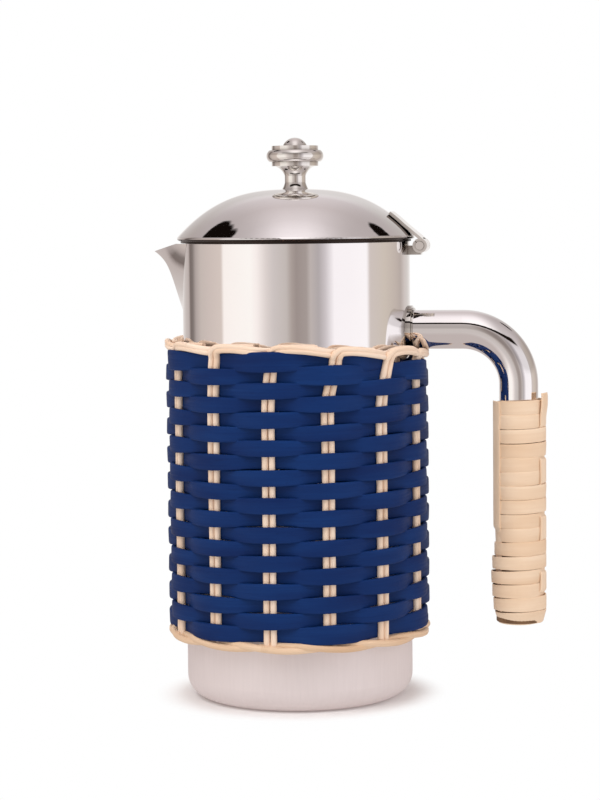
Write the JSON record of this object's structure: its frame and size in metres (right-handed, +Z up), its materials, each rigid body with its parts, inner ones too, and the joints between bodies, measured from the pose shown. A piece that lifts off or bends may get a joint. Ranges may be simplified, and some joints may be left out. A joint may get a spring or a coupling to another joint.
{
  "type": "stovetop coffee percolator",
  "caption": "Upright steel coffee percolator with a hinged domed lid, V spout, bound tube handle, woven cane sleeve and a lift-out pump and basket.",
  "frame": {"origin": "centre of the flat base, on the pot's axis", "axes": "+Z up along the pot's axis, +X towards the handle, the spout points along -X"},
  "size_m": [0.1739, 0.1176, 0.2457],
  "materials": {
    "mirror_steel": "mirror polished stainless steel",
    "inner_steel": "satin stainless steel",
    "natural_cane": "peeled natural cane, dry and slightly glossy",
    "navy_cane": "flat cane painted dark blue, satin"
  },
  "bodies": {
    "pot": {"pot_shell": "mirror_steel", "spout": "mirror_steel", "handle_collar": "mirror_steel", "handle_tube": "mirror_steel", "handle_plug": "inner_steel", "grip_wrap": "natural_cane", "grip_inner_strip": "natural_cane", "grip_outer_strip": "natural_cane", "sleeve_stakes": "natural_cane", "sleeve_weaver": "navy_cane", "sleeve_top_rim": "natural_cane", "sleeve_bottom_rim": "natural_cane", "hinge_bracket": "mirror_steel", "hinge_pin": "inner_steel"},
    "lid": {"lid_dome": "mirror_steel", "lid_collar": "inner_steel", "hinge_leaf": "mirror_steel", "knob": "mirror_steel", "knob_washer": "inner_steel", "knob_screw": "inner_steel"},
    "pump": {"pump_tube": "inner_steel", "pump_foot": "inner_steel", "stem_stop": "inner_steel"},
    "basket": {"basket": "inner_steel", "basket_middle_tube": "inner_steel"},
    "cover": {"basket_cover": "inner_steel"}
  },
  "joints": [
    {"name": "lid_hinge", "type": "hinge", "parent": "pot", "child": "lid", "pos_m": [0.0554, 0, 0.1982], "axis": [0, 1, 0], "range_deg": [0, 100]},
    {"name": "pump_lift", "type": "slide", "parent": "pot", "child": "pump", "axis": [0, 0, 1], "range_m": [0, 0.014]},
    {"name": "basket_lift", "type": "slide", "parent": "pump", "child": "basket", "axis": [0, 0, 1], "range_m": [0, 0.01]},
    {"name": "cover_lift", "type": "slide", "parent": "basket", "child": "cover", "axis": [0, 0, 1], "range_m": [0, 0.008]}
  ]
}
